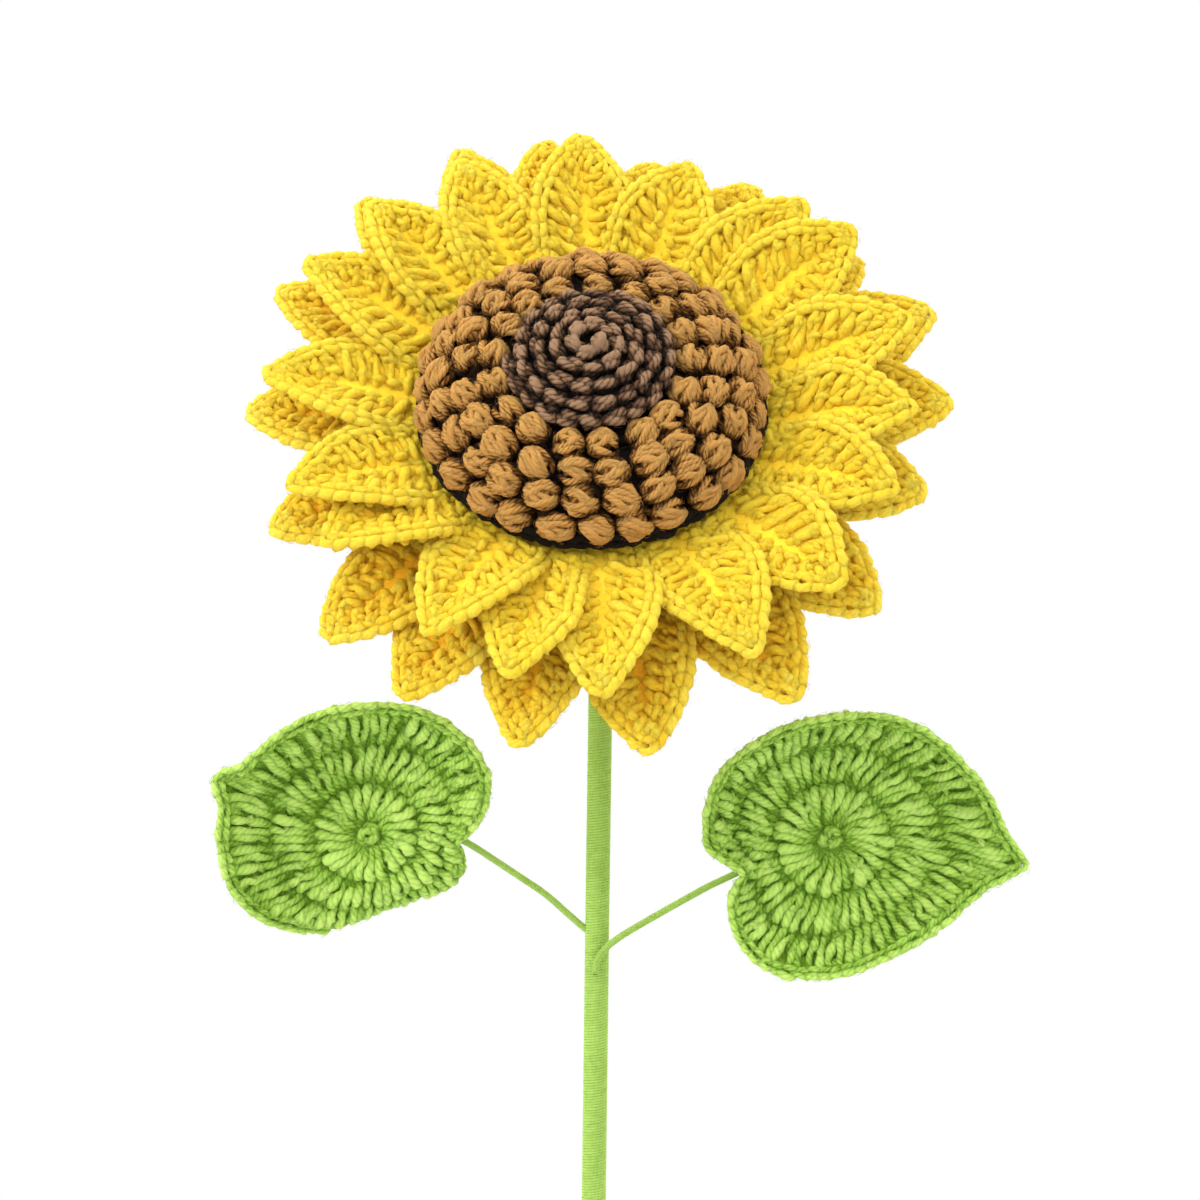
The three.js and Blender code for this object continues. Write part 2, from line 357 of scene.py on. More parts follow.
def strandTree():
    tree = newTree("yarn strand", [("Strand radius", "Float", 0.8 * mm), ("Step", "Float", 1.0 * mm),
                                   ("Sides", "Int", 8), ("Yarn", "Material", None)])
    entry = tree.nodes.new("NodeGroupInput")
    curve = guideCurve(tree, entry, entry.outputs["Step"])
    sweep(tree, curve, entry)
    return tree


def woundTree():
    tree = newTree("wound thread", [("Strand radius", "Float", 0.4 * mm), ("Core radius", "Float", 2.4 * mm),
                                    ("Pitch", "Float", 0.75 * mm), ("Threads", "Int", 4),
                                    ("Steps a turn", "Int", 18), ("Sides", "Int", 5),
                                    ("Yarn", "Material", None)])
    entry = tree.nodes.new("NodeGroupInput")
    lay = sumOf(tree, "MULTIPLY", entry.outputs["Pitch"], entry.outputs["Threads"])
    step = sumOf(tree, "DIVIDE", lay, entry.outputs["Steps a turn"])
    curve = guideCurve(tree, entry, step)
    length = addNode(tree, "GeometryNodeSplineParameter").outputs["Length"]
    turns = sumOf(tree, "ADD", sumOf(tree, "DIVIDE", length, lay), namedField(tree, "tone"))
    angle = sumOf(tree, "MULTIPLY", turns, 2 * math.pi)
    normal = addNode(tree, "GeometryNodeInputNormal").outputs["Normal"]
    tangent = addNode(tree, "GeometryNodeInputTangent").outputs["Tangent"]
    side = vectorOf(tree, "CROSS_PRODUCT", tangent, normal)
    across = vectorOf(tree, "SCALE", normal, sumOf(tree, "COSINE", angle))
    along = vectorOf(tree, "SCALE", side, sumOf(tree, "SINE", angle))
    outward = vectorOf(tree, "SCALE", vectorOf(tree, "ADD", across, along), entry.outputs["Core radius"])
    moved = addNode(tree, "GeometryNodeSetPosition", {"Geometry": curve, "Offset": outward})
    sweep(tree, moved.outputs["Geometry"], entry)
    return tree


fibreValues = {"kinds": 5, "length": 1.9 * mm, "rise": 0.55 * mm, "bend": 0.5 * mm, "width": 0.085 * mm,
               "onPetals": 240000.0, "onDisc": 250000.0, "onCap": 400000.0, "onLeaves": 250000.0}

yarnStrand = strandTree()
woundThread = woundTree()
looseFibres = fibreTree(fibreValues["kinds"])


def guideMesh(name, guides):
    mesh = bpy.data.meshes.new(name)
    mesh.from_pydata([tuple(p) for p in guides.points], guides.links, [])
    mesh.attributes.new("thick", "FLOAT", "POINT").data.foreach_set("value", guides.thick)
    mesh.attributes.new("tone", "FLOAT", "POINT").data.foreach_set("value", guides.tone)
    return mesh


def applied(name, mesh, tree, **inputs):
    # runs a tree on a mesh and gives back the plain mesh that comes out of it
    holder = shown(name, mesh)
    modifier = holder.modifiers.new("nodes", "NODES")
    modifier.node_group = tree
    for item in tree.interface.items_tree:
        key = item.name.replace(" ", "_")
        if item.item_type == "SOCKET" and item.in_out == "INPUT" and key in inputs:
            modifier[item.identifier] = inputs[key]
    graph = bpy.context.evaluated_depsgraph_get()
    result = bpy.data.meshes.new_from_object(holder.evaluated_get(graph))
    bpy.data.objects.remove(holder)
    return result


def kindInputs(kinds):
    return {"Kind_" + str(k + 1): kind for k, kind in enumerate(kinds)}


def strands(name, guides, yarn, radius, step=1.2 * mm, sides=8):
    return applied(name, guideMesh(name, guides), yarnStrand, Strand_radius=radius, Step=step,
                   Sides=sides, Yarn=yarn)


def fibreMesh(chance):
    # one loose fibre: a thin ribbon that leaves the strand, bends and comes back down
    values = fibreValues
    length = values["length"] * chance.uniform(0.8, 1.2)
    rise = values["rise"] * chance.uniform(0.5, 1.5)
    bend = values["bend"] * chance.uniform(-1, 1)
    roll = chance.uniform(0, math.pi)
    points = []
    for i in range(4):
        t = i / 3
        middle = np.array([length * (t - 0.5), bend * math.sin(2.4 * t * math.pi), rise * math.sin(2.6 * t)])
        turn = roll + 1.2 * t
        half = values["width"] / 2 * (1 if i < 3 else 0.3)
        across = np.array([0, math.cos(turn), math.sin(turn)]) * half
        points += [tuple(middle - across), tuple(middle + across)]
    mesh = bpy.data.meshes.new("fibre kind")
    mesh.from_pydata(points, [], [(k, k + 1, k + 3, k + 2) for k in (0, 2, 4)])
    # every fibre sits on a ply crown of the yarn map, so it takes the light end of the yarn's painted groove
    # shade
    crownMap = mesh.uv_layers.new(name="yarn")
    for corner in crownMap.data:
        corner.uv = (chance.uniform(0, 20), 0.125)
    mesh.attributes.new("tone", "FLOAT", "POINT").data.foreach_set("value", [0.75] * len(points))
    return mesh


fibreChance = random.Random(9)
fibreKinds = [shown("fibre kind", fibreMesh(fibreChance)) for k in range(fibreValues["kinds"])]


def fluffy(name, meshes, ground, yarn, density, seed):
    # strands with loose fibres over them, joined to the ground they stand on
    bare = joined(name, meshes)
    under = shown("under", ground)
    full = applied(name, bare.data, looseFibres, Ground=under, Fibres_a_square_metre=density, Seed=seed,
                   Yarn=yarn, **kindInputs(fibreKinds))
    bpy.data.objects.remove(bare)
    bpy.data.objects.remove(under)
    return joined(name, [full, ground])


def joined(name, meshes):
    # joins finished meshes, keeping their materials and maps
    objects = [shown(name + "_part", mesh) for mesh in meshes]
    for item in objects:
        item.select_set(True)
    if len(objects) > 1:
        with bpy.context.temp_override(active_object=objects[0], selected_editable_objects=objects):
            bpy.ops.object.join()
    objects[0].name = name
    objects[0].data.name = name
    objects[0].select_set(False)
    return objects[0]


def skin(name, rows, material):
    # a smooth closed skin through rings of points; a ring drawn to one point closes an end
    across = len(rows[0])
    shell = bmesh.new()
    corners = [shell.verts.new(tuple(p)) for row in rows for p in row]
    for i in range(len(rows) - 1):
        for j in range(across):
            a = i * across + j
            b = i * across + (j + 1) % across
            shell.faces.new([corners[k] for k in (a, b, b + across, a + across)])
    bmesh.ops.remove_doubles(shell, verts=shell.verts, dist=0.002 * mm)
    bmesh.ops.recalc_face_normals(shell, faces=shell.faces)
    mesh = bpy.data.meshes.new(name)
    shell.to_mesh(mesh)
    shell.free()
    mesh.shade_smooth()
    mesh.materials.append(material)
    return mesh


def finishPiece(piece, slot, *replaced):
    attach(piece, "root")
    if replaced:
        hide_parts(*replaced)


# yarn materials

def paint(r, g, b):
    # a colour given as 0..255 screen values
    def linear(c):
        c = c / 255
        return c / 12.92 if c <= 0.04045 else ((c + 0.055) / 1.055) ** 2.4
    return (linear(r), linear(g), linear(b), 1)


def shaderNodes(name, roughness, sheen, sheenTint):
    material = bpy.data.materials.new(name)
    material.use_nodes = True
    tree = material.node_tree
    shader = tree.nodes["Principled BSDF"]
    shader.inputs["Roughness"].default_value = roughness
    shader.inputs["Sheen Weight"].default_value = sheen
    shader.inputs["Sheen Roughness"].default_value = 0.6
    shader.inputs["Sheen Tint"].default_value = sheenTint
    shader.inputs["Specular IOR Level"].default_value = 0.2
    shader.inputs["Subsurface Weight"].default_value = 0.3
    shader.inputs["Subsurface Scale"].default_value = 1.5 * mm
    shader.inputs["Subsurface Radius"].default_value = (1.0, 0.7, 0.3)
    return material, tree, shader


def yarnMaterial(name, deep, body, light, plies=4, plyPitch=6.0, plyShare=0.3, relief=0.3 * mm,
                 matting=0.5 * mm, shadeFadeHeights=(0.9 * mm, 2.7 * mm), paintedShadeAmount=0.5, toneAmount=0.35,
                 patchAmount=0.3):
    # soft plied yarn: plies from the yarn map, matted fluff and patches from the place in space,
    # painted shade: darker colour in the grooves between plies and low down between the stitches
    material, tree, shader = shaderNodes(name, 0.92, 0.08, light)
    uv = addNode(tree, "ShaderNodeUVMap", uv_map="yarn").outputs["UV"]
    parts = addNode(tree, "ShaderNodeSeparateXYZ", {0: uv})
    along = parts.outputs["X"]
    turn = sumOf(tree, "MULTIPLY", parts.outputs["Y"], plies)
    phase = sumOf(tree, "ADD", turn, sumOf(tree, "DIVIDE", along, plyPitch / plies))
    wave = sumOf(tree, "ABSOLUTE", sumOf(tree, "SINE", sumOf(tree, "MULTIPLY", phase, math.pi)))
    crown = sumOf(tree, "MULTIPLY", sumOf(tree, "POWER", wave, 0.6), plyShare)
    tone = addNode(tree, "ShaderNodeAttribute", attribute_name="tone").outputs["Fac"]
    depth = addNode(tree, "ShaderNodeAttribute", attribute_name="depth").outputs["Fac"]
    place = addNode(tree, "ShaderNodeTexCoord").outputs["Object"]

    def noise(scale, detail, rough, vector):
        return addNode(tree, "ShaderNodeTexNoise", {"Vector": vector, "Scale": scale, "Detail": detail,
                                                    "Roughness": rough}).outputs[0]

    streaks = addNode(tree, "ShaderNodeCombineXYZ", {
        0: sumOf(tree, "MULTIPLY", phase, 3.1), 1: sumOf(tree, "MULTIPLY", along, 1.3),
        2: sumOf(tree, "MULTIPLY", tone, 40)}).outputs[0]
    fibre = sumOf(tree, "MULTIPLY", noise(1.0, 3.0, 0.65, streaks), 0.35)
    fluff = sumOf(tree, "MULTIPLY", noise(900.0, 5.0, 0.75, place), 0.8)
    height = sumOf(tree, "ADD", sumOf(tree, "ADD", crown, fibre), fluff)
    plied = addNode(tree, "ShaderNodeBump", {"Strength": 1.0, "Distance": relief, "Height": height})
    matted = addNode(tree, "ShaderNodeBump", {"Strength": 1.0, "Distance": matting, "Height": fluff,
                                              "Normal": plied.outputs["Normal"]})
    tree.links.new(matted.outputs["Normal"], shader.inputs["Normal"])

    def centred(value, middle, amount):
        return sumOf(tree, "MULTIPLY", sumOf(tree, "SUBTRACT", value, middle), amount)

    # painted shade: the colour darkens where a point sits low, close to the ground between stitches
    high = addNode(tree, "ShaderNodeMapRange", {"Value": depth, "From Min": shadeFadeHeights[0], "From Max": shadeFadeHeights[1]})
    # painted shade: ply crowns lighter and grooves darker by bump height, plus random patches and tone
    shadeAndToneLevel = sumOf(tree, "ADD", centred(height, 0.6, 1.1), 0.5)
    for change in (centred(noise(110.0, 2.0, 0.5, place), 0.5, patchAmount), centred(tone, 0.5, toneAmount),
                   centred(high.outputs[0], 0.75, paintedShadeAmount)):
        shadeAndToneLevel = sumOf(tree, "ADD", shadeAndToneLevel, change)
    ramp = addNode(tree, "ShaderNodeValToRGB", {"Fac": shadeAndToneLevel})
    ramp.color_ramp.elements[0].position = 0.12
    ramp.color_ramp.elements[0].color = deep
    ramp.color_ramp.elements[1].position = 0.88
    ramp.color_ramp.elements[1].color = light
    middle = ramp.color_ramp.elements.new(0.5)
    middle.color = body
    tree.links.new(ramp.outputs["Color"], shader.inputs["Base Color"])
    return material


def groundMaterial(name, deep, light, scale=900, relief=0.3 * mm):
    # the matted yarn seen between stitches; where its colours are set darker than the stitches over it, that
    # is painted shade in the gaps
    material, tree, shader = shaderNodes(name, 0.95, 0.05, light)
    place = addNode(tree, "ShaderNodeTexCoord").outputs["Object"]
    noise = addNode(tree, "ShaderNodeTexNoise", {"Vector": place, "Scale": scale, "Detail": 3.0,
                                                "Roughness": 0.7}).outputs[0]
    ramp = addNode(tree, "ShaderNodeValToRGB", {"Fac": noise})
    ramp.color_ramp.elements[0].position = 0.35
    ramp.color_ramp.elements[0].color = deep
    ramp.color_ramp.elements[1].position = 0.7
    ramp.color_ramp.elements[1].color = light
    tree.links.new(ramp.outputs["Color"], shader.inputs["Base Color"])
    bump = addNode(tree, "ShaderNodeBump", {"Strength": 1.0, "Distance": relief, "Height": noise})
    tree.links.new(bump.outputs["Normal"], shader.inputs["Normal"])
    return material


yellowYarn = yarnMaterial("yellow yarn", paint(250, 198, 34), paint(248, 208, 50), paint(246, 222, 80),
                          plyShare=0.2, matting=0.6 * mm, paintedShadeAmount=0.25, toneAmount=0.25)
yellowGround = groundMaterial("yellow ground", paint(248, 198, 40), paint(252, 216, 60))
goldenYarn = yarnMaterial("golden yarn", paint(244, 172, 26), paint(250, 204, 46), paint(252, 230, 88),
                          plyShare=0.2, matting=0.6 * mm, paintedShadeAmount=0.25, toneAmount=0.25)
# painted shade: darker than the golden yarn, for the gaps between stitches
goldenGapShade = groundMaterial("golden gap shade", paint(236, 166, 28), paint(246, 196, 44))
# tan and brown yarn carry strong painted shade low down between bobbles and stitches
tanYarn = yarnMaterial("tan yarn", paint(36, 18, 2), paint(126, 79, 24), paint(204, 151, 80),
                       plyPitch=5.0, plyShare=0.5, relief=0.42 * mm, shadeFadeHeights=(1.2 * mm, 4.2 * mm),
                       paintedShadeAmount=1.2)
brownYarn = yarnMaterial("dark brown yarn", paint(12, 6, 3), paint(96, 66, 43), paint(160, 126, 96),
                         plyPitch=5.0, plyShare=0.45, relief=0.42 * mm, shadeFadeHeights=(1.3 * mm, 3.3 * mm),
                         paintedShadeAmount=1.2)
blackYarn = yarnMaterial("black yarn", paint(8, 5, 2), paint(20, 13, 8), paint(48, 36, 24))
blackGround = groundMaterial("black ground", paint(5, 3, 2), paint(20, 13, 8))
leafYarn = yarnMaterial("leaf yarn", paint(104, 148, 28), paint(160, 202, 82), paint(198, 232, 118),
                        shadeFadeHeights=(0.4 * mm, 2.2 * mm), paintedShadeAmount=0.7)
# painted shade: darker than the leaf yarn, for the gaps between stitches and between the stem's thread turns
leafGapShade = groundMaterial("leaf gap shade", paint(86, 124, 24), paint(130, 172, 50))
stemThread = yarnMaterial("stem thread", paint(104, 134, 50), paint(136, 168, 74), paint(162, 196, 96),
                          plies=3, plyPitch=2.4, relief=0.05 * mm, matting=0.1 * mm, paintedShadeAmount=0.0,
                          toneAmount=0.04)
print("materials made")


# the flower's own frame: +Z is its axis, +Y its upper side

def middleOf(node):
    return vertsOf(node).mean(axis=0)


def headFrame():
    axis = unit(middleOf("cap") - middleOf("disc"))
    centre = middleOf("calyx")
    underside = ((vertsOf("disc") - centre) @ axis).min()
    across = np.array([1.0, 0.0, 0.0])
    origin = centre + axis * underside
    turn = np.array([across, np.cross(axis, across), axis]).T
    return turn, origin


headTurn, headOrigin = headFrame()
discCentre = (middleOf("disc") - headOrigin) @ headTurn * np.array([1, 1, 0])


def headPlace(p):
    return headTurn @ p + headOrigin


def headLocal(points):
    return (points - headOrigin) @ headTurn


# petals: a valley down the middle, plump posts slanting out to a braided, turned-up edge

petalValues = {
    "root": 30.5 * mm, "width": 24.0 * mm, "spare": 0.5 * mm, "overlap": 3.0 * mm,
    "hiddenRoot": 0.2, "roll": math.radians(8),
    "front": {"cup": 3.6 * mm, "bow": 1.2 * mm, "fullness": 1.8},
    "back": {"cup": 2.2 * mm, "bow": -0.6 * mm, "fullness": 2.4},
    "rimInset": 1.7 * mm, "linkPitch": 3.1 * mm, "linkSpread": 1.05 * mm, "linkRadius": 1.08 * mm,
    "postPitch": 3.0 * mm, "postRadius": 1.02 * mm, "postOffset": 0.84 * mm,
    "postTwist": math.radians(190), "postBulge": 1.0 * mm, "postDip": 1.0 * mm,
    "wrapReach": 1.25 * mm, "wrapRise": 1.15 * mm, "backDrop": 1.9 * mm,
    "footShares": (0.1, 0.86), "headShares": (0.14, 0.96), "sheetFront": 1.25 * mm, "sheetBack": 0.6 * mm,
    "stray": 0.26 * mm, "swell": 0.32, "sides": 6,
}


def petalOutline(u, fullness):
    belly = 0.46
    if u < belly:
        return 0.62 + 0.38 * math.sin(u / belly * math.pi / 2)
    return 0.1 + 0.9 * (1 - min(1, (u - belly) / (1 - belly)) ** fullness)


class Petal:
    def __init__(self, node, layer, chance):
        local = np.unique(np.round(headLocal(vertsOf(node)), 6), axis=0)
        radius = np.hypot(local[:, 0], local[:, 1])
        tip = local[radius > radius.max() - 0.1 * mm].mean(axis=0)
        self.turn = math.atan2(tip[1], tip[0])
        c, s = math.cos(self.turn), math.sin(self.turn)
        self.spin = np.array([[c, -s, 0], [s, c, 0], [0, 0, 1]])
        own = local @ self.spin
        middle = own[np.abs(own[:, 1]) < 0.05 * mm]
        self.reach = own[:, 0].max()
        self.rise = middle[middle[:, 0] > self.reach - 0.1 * mm][:, 2].mean()
        self.rootRise = middle[middle[:, 0] < middle[:, 0].min() + 0.1 * mm][:, 2].mean()
        self.cup = petalValues[layer]["cup"] * chance.uniform(0.85, 1.2)
        self.bow = petalValues[layer]["bow"]
        self.fullness = petalValues[layer]["fullness"] * chance.uniform(0.92, 1.1)
        self.roll = petalValues["roll"] * chance.uniform(0.6, 1.4)
        self.wind = chance.uniform(-0.06, 0.06)
        self.sway = chance.uniform(-0.6, 0.6) * mm
        self.room = math.radians(10)

    def half(self, u):
        out = mixed(petalValues["root"], self.reach, u)
        wide = petalValues["width"] / 2 * petalOutline(u, self.fullness) + petalValues["spare"] * (1 - u)
        return min(wide, out * math.tan(self.room) + petalValues["overlap"])

    def free(self, u):
        hidden = petalValues["hiddenRoot"]
        return min(1, max(0, (u - hidden) / (1 - hidden)))

    def surface(self, u, y):
        # a point of the middle sheet at share u along and y across
        half = max(self.half(min(u, 1)), 0.5 * mm)
        free = self.free(u)
        share = min(abs(y) / half, 1.15)
        curl = self.cup * math.sin(0.93 * free * math.pi) * share ** 2
        middle = self.rootRise + (self.rise - self.rootRise) * max(u, 0) ** 1.3
        middle += self.bow * math.sin(free * math.pi)
        tilt = math.tan(self.roll + self.wind * free) * y * min(1, free * 2.5)
        out = mixed(petalValues["root"], self.reach, u)
        return np.array([out, y + self.sway * math.sin(free * math.pi), middle + curl + tilt])

    def normal(self, u, y):
        du = self.surface(u + 0.01, y) - self.surface(u - 0.01, y)
        dy = self.surface(u, y + 0.2 * mm) - self.surface(u, y - 0.2 * mm)
        return unit(np.cross(du, dy))

    def place(self, p):
        return headPlace(self.spin @ p)


def petalRim(petal):
    # the edge's centre line, up one side, round the tip and down the other
    inset = petalValues["rimInset"]
    start = petalValues["footShares"][0]
    last = 1 - 0.6 * inset / (petal.reach - petalValues["root"])
    upper = []
    for i in range(25):
        u = mixed(start, last, i / 24)
        y = max(petal.half(u) - inset, 0)
        upper.append((u, y))
    edge = [p for p in upper if p[1] > 0.5 * mm] + [(last, 0)]
    edge += [(u, -y) for u, y in reversed(edge[:-1])]
    points = []
    facings = []
    for k, (u, y) in enumerate(edge):
        lean = 1 if y > 0 else -1 if y < 0 else 0
        p = petal.surface(u, y)
        normal = petal.normal(u, y)
        a, b = edge[max(k - 1, 0)], edge[min(k + 1, len(edge) - 1)]
        heading = unit(petal.surface(*b) - petal.surface(*a))
        outward = unit(np.cross(heading, normal))
        if np.dot(outward, np.array([0.2 if lean else 1, lean, 0])) < 0:
            outward = -outward
        points.append(p + normal * 0.3 * mm)
        facings.append(unit(0.5 * outward + 0.85 * normal))
    return Route(points, facings)


def petalPosts(guides, petal, chance):
    values = petalValues
    length = petal.reach - values["root"]
    footStart, footEnd = values["footShares"]
    headStart, headEnd = values["headShares"]
    count = round(length * (footEnd - footStart) / values["postPitch"])
    steps = 6
    for hand in (-1, 1):
        for k in range(count):
            share = (k + (0.25 if hand > 0 else 0.0)) / (count - 0.75)
            uFoot = mixed(footStart, footEnd, share) + chance.uniform(-0.006, 0.006)
            uHead = mixed(headStart, headEnd, share ** 0.9) + chance.uniform(-0.006, 0.006)
            yHead = max(petal.half(uHead) - values["rimInset"] * 1.15, 0.3 * mm)
            yFoot = min(0.5 * mm, yHead * 0.3)
            path = []
            ups = []
            for i in range(steps + 1):
                t = i / steps
                u = mixed(uFoot, uHead, t)
                y = hand * mixed(yFoot, yHead, t)
                up = petal.normal(u, y)
                lift = values["postBulge"] * math.sin(math.pi * t) ** 0.6
                lift -= values["postDip"] * max(0, 1 - t * 5)
                path.append(petal.surface(u, y) + up * lift)
                ups.append(up)
            tone = 0.5 + chance.uniform(-0.25, 0.25)
            twist = values["postTwist"] * chance.uniform(0.8, 1.2)
            twisted(guides, path, ups, 3, values["postOffset"], twist, chance.uniform(0.6, 1.4), tone)
            guides.add([p - up * values["backDrop"] for p, up in zip(path[::2], ups[::2])], tone, size=1.2)
            for at in [0.3, 0.72] if yHead > 6 * mm else [0.55]:
                wrap(guides, path, ups, at + chance.uniform(-0.08, 0.08), values["wrapReach"],
                     values["wrapRise"], hand, tone + chance.uniform(-0.1, 0.2), 0.85)


def petalSheet(name, petal, material):
    # the thin backing that closes the gaps between posts, front and back in one closed skin
    rows = []
    across = 8
    for i in range(13):
        u = mixed(0.02, 0.96, i / 12)
        half = max(petal.half(u) - petalValues["rimInset"], 0.4 * mm)
        row = []
        for j in range(2 * across):
            side = 1 if j < across else -1
            step = j if side > 0 else 2 * across - 1 - j
            y = mixed(-half, half, step / (across - 1))
            thick = petalValues["sheetBack" if side > 0 else "sheetFront"]
            thick *= 0 if step in (0, across - 1) or i in (0, 12) else 1
            row.append(petal.place(petal.surface(u, y) - petal.normal(u, y) * side * thick))
        rows.append(row)
    return skin(name, rows, material)


def makePetals(layer, count, seed, yarn, ground, slot):
    chance = random.Random(seed)
    names = [f"petal_{layer}_{i + 1:02d}" for i in range(count)]
    petals = [Petal(name, layer, chance) for name in names]
    turns = sorted(p.turn for p in petals)
    for petal in petals:
        k = turns.index(petal.turn)
        gaps = [abs(turns[(k + d) % count] - petal.turn) % (2 * math.pi) for d in (-1, 1)]
        petal.room = max(min(g, 2 * math.pi - g) for g in gaps) / 2
    for name, petal in zip(names, petals):
        rim = Guides(petal.place)
        route = petalRim(petal)
        chain(rim, route, petalValues["linkPitch"], petalValues["linkSpread"], chance)
        posts = Guides(petal.place, petalValues["stray"], petalValues["swell"])
        petalPosts(posts, petal, chance)
        sides = petalValues["sides"]
        yarns = [strands(name, rim, yarn, petalValues["linkRadius"], sides=sides),
                 strands(name, posts, yarn, petalValues["postRadius"], sides=sides)]
        piece = fluffy(name + "_yarn", yarns, petalSheet(name, petal, ground), yarn,
                       fibreValues["onPetals"], chance.randrange(999))
        finishPiece(piece, slot, name)
    print(layer, "petals made")


makePetals("front", 18, 11, yellowYarn, yellowGround, "yellow_yarn")
makePetals("back", 18, 12, goldenYarn, goldenGapShade, "golden_yarn")


# round pieces on the flower's axis: their outlines come from the CAD solids

class Outline:
    # a solid's outline in the flower's frame, walked from one angle to another round a point inside it
    def __init__(self, node, centre, inside, angles, count=60):
        self.centre = centre
        tree = treeOf(headLocal(vertsOf(node)) - centre, node)
        start = Vector((inside[0], 0, inside[1]))
        points = []
        for i in range(count + 1):
            angle = math.radians(mixed(angles[0], angles[1], i / count))
            hit = tree.ray_cast(start, Vector((math.cos(angle), 0, math.sin(angle))))[0]
            if hit is not None:
                points.append((hit.x, hit.z))
        self.points = np.array(points)
        self.side = 1 if angles[1] > angles[0] else -1
        steps = np.linalg.norm(np.diff(self.points, axis=0), axis=1)
        self.marks = np.concatenate([[0], np.cumsum(steps)])
        self.length = self.marks[-1]

    def at(self, s):
        # radius and height at a distance along the outline, and the outward direction there
        def spot(t):
            return np.array([np.interp(t, self.marks, self.points[:, i]) for i in (0, 1)])
        reach = 1.2 * mm
        heading = unit(spot(min(s + reach, self.length)) - spot(max(s - reach, 0)))
        return spot(s), np.array([heading[1], -heading[0]]) * self.side


def roundSpot(outline, s, angle, lift=0.0):
    # a point in the flower's frame at a distance along an outline and an angle round the axis
    (radius, height), (outR, outZ) = outline.at(s)
    c, sn = math.cos(angle), math.sin(angle)
    radius += outR * lift
    place = np.array([radius * c, radius * sn, height + outZ * lift]) + outline.centre
    return place, np.array([outR * c, outR * sn, outZ])


def revolved(name, outline, lift, material, sides=72, steps=24):
    # a closed skin of revolution under an outline, its ends run in to the axis
    rows = []
    for i in range(steps + 1):
        s = outline.length * i / steps
        turns = [2 * math.pi * k / sides for k in range(sides)]
        rows.append([headPlace(roundSpot(outline, s, turn, lift)[0]) for turn in turns])
    first, last = [[np.mean(row, axis=0)] * sides for row in (rows[0], rows[-1])]
    return skin(name, [first] + rows + [last], material)


# disc: four staggered rows of bobbles on black yarn

discValues = {
    "inside": (26 * mm, 6 * mm), "angles": (-9, 128),
    "rows": (27, 25, 21, 17), "firstRow": 3.4 * mm, "rowPitch": 6.8 * mm, "sink": 2.5 * mm,
    "bobbleLong": 3.5 * mm, "bobbleWide": 2.7 * mm, "bobbleTall": 3.2 * mm, "coreShare": 2.9,
    "strandsOver": 10, "strandSpread": math.radians(220), "strandSkew": math.radians(110),
    "strandRadius": 0.74 * mm, "kinds": 8, "groundDepth": -3.3 * mm,
    "bobbleRoom": 8.4 * mm, "edgePitch": 3.6 * mm, "edgeSpread": 1.1 * mm, "edgeRadius": 0.95 * mm,
    "outerEdge": (0.2 * mm, -1.6 * mm), "innerEdge": (0.6 * mm, -2.4 * mm),
}


def bobbleMesh(name, chance):
    values = discValues
    guides = Guides()
    count = values["strandsOver"]
    for k in range(count):
        lean = values["strandSpread"] * (k / (count - 1) - 0.5) + chance.uniform(-0.12, 0.12)
        skew = values["strandSkew"] * chance.uniform(0.4, 1.2) * chance.choice((-1, 1))
        swell = chance.uniform(0.92, 1.1)
        path = []
        for i in range(8):
            t = i / 7
            angle = lean + skew * (t - 0.5)
            belly = math.sin(math.pi * t) ** 0.7 * swell
            path.append(np.array([-values["bobbleLong"] * math.cos(math.pi * t),
                                  values["bobbleWide"] * belly * math.sin(angle),
                                  values["bobbleTall"] * belly * math.cos(angle) - 0.6 * mm * (1 - belly)]))
        guides.add(path, 0.5 + chance.uniform(-0.3, 0.3))
    core = [np.array([values["bobbleLong"] * 0.8 * share, 0, 0.4 * mm]) for share in (-1, -0.4, 0.4, 1)]
    guides.add(core, 0.3, size=values["coreShare"])
    return strands(name, guides, tanYarn, values["strandRadius"], sides=7)


def bobbleTree(kinds):
    # sets one of the bobbles on every point, standing outward and lying along its row
    tree = newTree("bobble rows", [("Kind " + str(k + 1), "Object", None) for k in range(kinds)]
                   + [("Yarn", "Material", None)])
    entry = tree.nodes.new("NodeGroupInput")
    rotation = addNode(tree, "FunctionNodeAxesToRotation", {
        0: namedField(tree, "outward", "FLOAT_VECTOR"), 1: namedField(tree, "along", "FLOAT_VECTOR")},
        primary_axis="Z", secondary_axis="X")
    placed = addNode(tree, "GeometryNodeInstanceOnPoints", {
        "Points": entry.outputs["Geometry"], "Instance": kindsTogether(tree, entry, kinds),
        "Pick Instance": True, "Instance Index": namedField(tree, "pick", "INT"),
        "Rotation": rotation.outputs[0], "Scale": namedField(tree, "size", "FLOAT_VECTOR")})
    endTree(tree, entry, placed.outputs["Instances"])
    return tree


